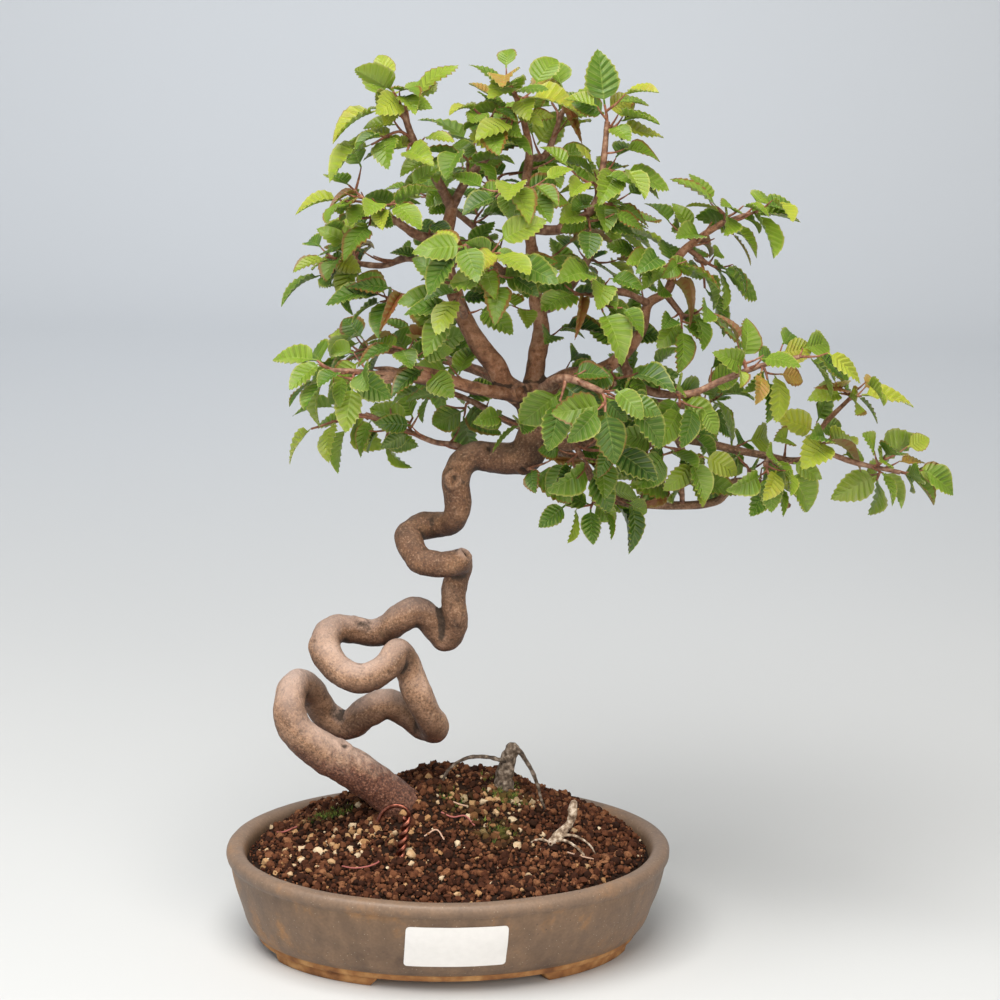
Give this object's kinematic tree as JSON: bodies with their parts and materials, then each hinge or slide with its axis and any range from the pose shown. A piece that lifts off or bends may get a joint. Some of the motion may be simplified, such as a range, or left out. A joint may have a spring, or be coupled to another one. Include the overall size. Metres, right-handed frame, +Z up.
{
  "type": "korean hornbeam bonsai",
  "caption": "Potted hornbeam bonsai with a coiled trunk and leafy sprays, rooted in granular soil in a shallow oval stoneware pot on curved feet.",
  "frame": {"origin": "on the ground under the middle of the whole object's box", "axes": "+X along the pot's long axis, to the right when seen from the front; -Y is the front; +Z up"},
  "size_m": [0.353, 0.1816, 0.4552],
  "materials": {
    "stoneware": "semi-matte grey-brown stoneware with ochre mottling, bare clay feet",
    "akadama": "dry red-brown granules with pale pumice",
    "bark": "smooth pinkish grey-brown bark",
    "leaf": "living leaves, satin mid green with yellow-green veins, on red-brown twigs",
    "copper": "annealed copper wire, dulled",
    "root": "pale dry root bark",
    "paper": "plain white sticker paper"
  },
  "bodies": {
    "root": {"pot": "stoneware", "soil": "akadama", "trunk": "bark", "tie_wire": "copper", "root_stump": "root", "root_right": "root", "label": "paper", "back_crown_left": "leaf", "back_left": "leaf", "back_low": "leaf", "back_right": "leaf", "crown_back": "leaf", "crown_flank": "leaf", "crown_front": "leaf", "crown_left": "leaf", "crown_middle": "leaf", "crown_right": "leaf", "crown_shoulder": "leaf", "crown_top": "leaf", "front_low": "leaf", "front_right": "leaf", "front_shelf": "leaf", "heart_front": "leaf", "heart_top": "leaf", "left_front": "leaf", "left_lift": "leaf", "left_low": "leaf", "left_thin": "leaf", "low_end": "leaf", "low_middle": "leaf", "low_near": "leaf", "right_back": "leaf", "right_below": "leaf", "right_crest": "leaf", "right_fill": "leaf", "right_front": "leaf", "right_inner": "leaf", "right_knee": "leaf", "right_lift": "leaf", "right_middle": "leaf", "right_side": "leaf", "right_tip": "leaf", "shelf_middle": "leaf", "shelf_tip": "leaf", "trunk_shoot": "leaf", "trunk_sprig": "leaf"}
  },
  "joints": []
}
